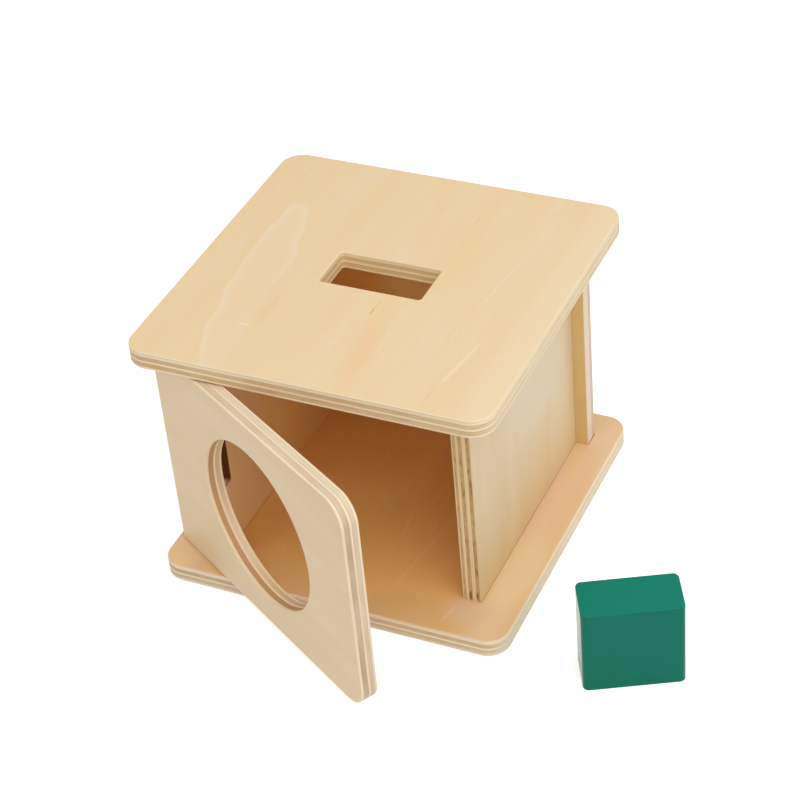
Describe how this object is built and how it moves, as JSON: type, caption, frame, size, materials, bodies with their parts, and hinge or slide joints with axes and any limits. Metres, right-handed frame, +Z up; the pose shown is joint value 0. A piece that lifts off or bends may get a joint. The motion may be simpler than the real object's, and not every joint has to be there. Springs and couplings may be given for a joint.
{
  "type": "object permanence box",
  "caption": "Plywood box with a posting slot in its top, a pivoting door with a round window, and a painted block to post.",
  "frame": {"origin": "middle of the base panel's underside", "axes": "+X to the right along the front, +Y from the front into the depth, +Z up"},
  "size_m": [0.2627, 0.2373, 0.139],
  "materials": {
    "plywood": "pale plywood, clear satin lacquer, sanded ply edges",
    "pin_steel": "bright drawn steel pin",
    "green_paint": "solid wood block, satin green paint"
  },
  "bodies": {
    "carcass": {"base_panel": "plywood", "top_panel": "plywood", "left_wall": "plywood", "right_wall": "plywood", "back_wall": "plywood"},
    "door": {"door": "plywood", "lower_pivot_pin": "pin_steel", "upper_pivot_pin": "pin_steel"},
    "block": {"posting_block": "green_paint"}
  },
  "joints": [
    {"name": "door_swing", "type": "hinge", "parent": "carcass", "child": "door", "pos_m": [-0.07735, -0.06945, 0.0695], "axis": [0, 0, 1], "range_deg": [-74.3, 30.7]},
    {"name": "block_lift", "type": "slide", "parent": "carcass", "child": "block", "axis": [0, 0, 1], "range_m": [0, 0.2]}
  ]
}
